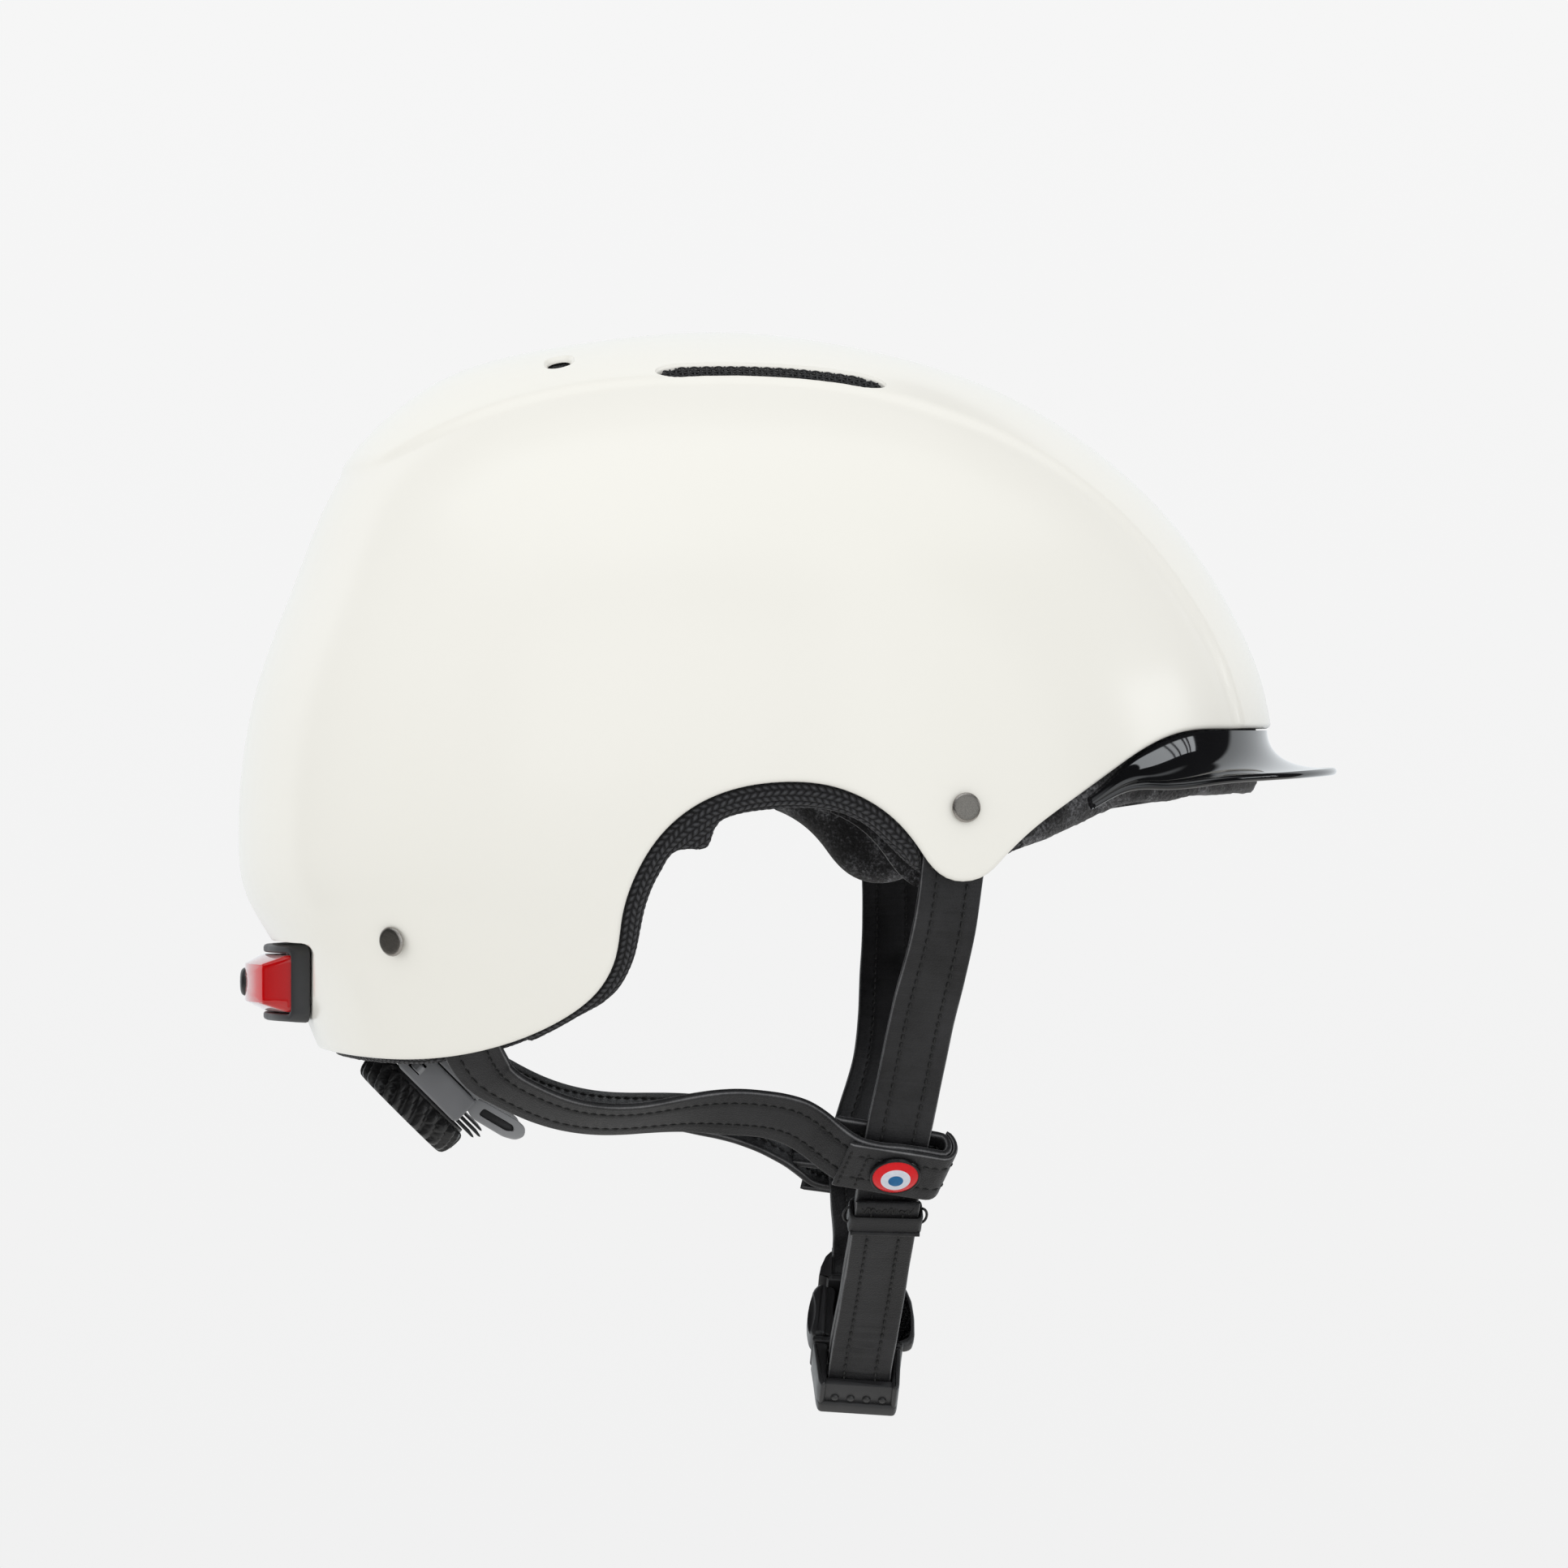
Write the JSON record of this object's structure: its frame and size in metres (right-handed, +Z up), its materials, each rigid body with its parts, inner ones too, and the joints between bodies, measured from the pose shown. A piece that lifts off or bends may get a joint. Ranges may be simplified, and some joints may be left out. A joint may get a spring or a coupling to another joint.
{
  "type": "cycling helmet",
  "caption": "Urban cycling helmet: cream gloss shell, foam liner, short black visor, leather-look straps with side-release buckle, dial cradle and clip-on rear light.",
  "frame": {"origin": "centre of the head opening at brow height, on the helmet's middle plane: the place of the wearer's head", "axes": "+Y to the front (visor), +X to the wearer's right, +Z up"},
  "size_m": [0.2068, 0.2762, 0.2731],
  "materials": {
    "cream_shell": "smooth gloss",
    "black_foam": "expanded foam",
    "black_knit": "knitted mesh",
    "black_velour": "brushed velour",
    "black_gloss": "high gloss",
    "black_leather": "grained",
    "gunmetal": "fine sand texture",
    "steel": "plain",
    "black_matte": "satin",
    "grey_plastic": "satin",
    "black_rubber": "matt",
    "red_lens": "clear gloss",
    "green_board": "plain",
    "enamel_cap": "domed gloss"
  },
  "bodies": {
    "helmet": {"brow_pad": "black_velour", "buckle_female": "black_matte", "buckle_male": "black_matte", "crown_pad": "black_velour", "edge_trim": "black_knit", "eps_liner": "black_foam", "front_rivet_left": "gunmetal", "front_rivet_right": "gunmetal", "front_strap_left": "black_leather", "front_strap_right": "black_leather", "front_washer_left": "steel", "front_washer_right": "steel", "headband_left": "grey_plastic", "headband_right": "grey_plastic", "light_bracket": "black_matte", "nape_pad": "black_velour", "outer_shell": "cream_shell", "rear_rivet_left": "gunmetal", "rear_rivet_right": "gunmetal", "rear_strap_left": "black_leather", "rear_strap_right": "black_leather", "rear_vent_mesh_left": "black_knit", "rear_vent_mesh_right": "black_knit", "rear_washer_left": "steel", "rear_washer_right": "steel", "snap_base_left": "gunmetal", "snap_base_right": "gunmetal", "snap_cap_left": "enamel_cap", "snap_cap_right": "enamel_cap", "temple_pad_left": "black_velour", "temple_pad_right": "black_velour", "vent_mesh_left": "black_knit", "vent_mesh_right": "black_knit", "visor": "black_gloss"},
    "cradle": {"cradle_housing": "grey_plastic", "cradle_cover": "grey_plastic", "cradle_loop_right": "grey_plastic", "cradle_loop_left": "grey_plastic", "detent_spring": "steel"},
    "dial": {"dial_core": "black_matte", "dial_grip": "black_rubber", "dial_pinion": "black_matte", "dial_screw": "steel"},
    "rack_right": {"rack_right": "grey_plastic"},
    "rack_left": {"rack_left": "grey_plastic"},
    "light": {"light_base": "black_matte", "light_lens": "red_lens", "light_board": "green_board", "light_battery": "steel"},
    "light_button": {"light_button": "black_rubber"},
    "release_arm_front": {"release_arm_front": "black_matte"},
    "release_arm_rear": {"release_arm_rear": "black_matte"},
    "keeper": {"strap_keeper": "black_leather"}
  },
  "joints": [
    {"name": "cradle_travel", "type": "slide", "parent": "helmet", "child": "cradle", "axis": [0, 1, 0], "range_m": [-0.002, 0.008]},
    {"name": "dial_turn", "type": "hinge", "parent": "cradle", "child": "dial", "pos_m": [0, -0.0897, -0.0819], "axis": [0, -0.7071, -0.7071], "range_deg": [-28.7, 114.7]},
    {"name": "rack_right_slide", "type": "slide", "parent": "cradle", "child": "rack_right", "axis": [1, 0, 0], "range_m": [-0.00801, 0.00201]},
    {"name": "rack_left_slide", "type": "slide", "parent": "cradle", "child": "rack_left", "axis": [1, 0, 0], "range_m": [-0.00201, 0.00801]},
    {"name": "light_release", "type": "slide", "parent": "helmet", "child": "light", "axis": [0, -1, 0], "range_m": [0, 0.02]},
    {"name": "light_button_press", "type": "slide", "parent": "light", "child": "light_button", "axis": [0, 1, 0], "range_m": [0, 0.0009], "stiffness_N_per_m": 300},
    {"name": "release_arm_front_flex", "type": "hinge", "parent": "helmet", "child": "release_arm_front", "pos_m": [-0.0086, 0.03078, -0.14726], "axis": [0.7428, 0, 0.6695], "range_deg": [0, 10], "stiffness_Nm_per_rad": 0.05},
    {"name": "release_arm_rear_flex", "type": "hinge", "parent": "helmet", "child": "release_arm_rear", "pos_m": [-0.00927, 0.01963, -0.14651], "axis": [-0.7428, 0, -0.6695], "range_deg": [0, 10], "stiffness_Nm_per_rad": 0.05},
    {"name": "keeper_slide", "type": "slide", "parent": "helmet", "child": "keeper", "axis": [-0.7124, -0.0412, -0.7006], "range_m": [-0.002, 0.015]}
  ],
  "couplings": [
    {"joint": "dial_turn", "follows": "cradle_travel", "rad_per_m": 250},
    {"joint": "rack_right_slide", "follows": "cradle_travel", "ratio": -1},
    {"joint": "rack_left_slide", "follows": "cradle_travel", "ratio": 1}
  ]
}
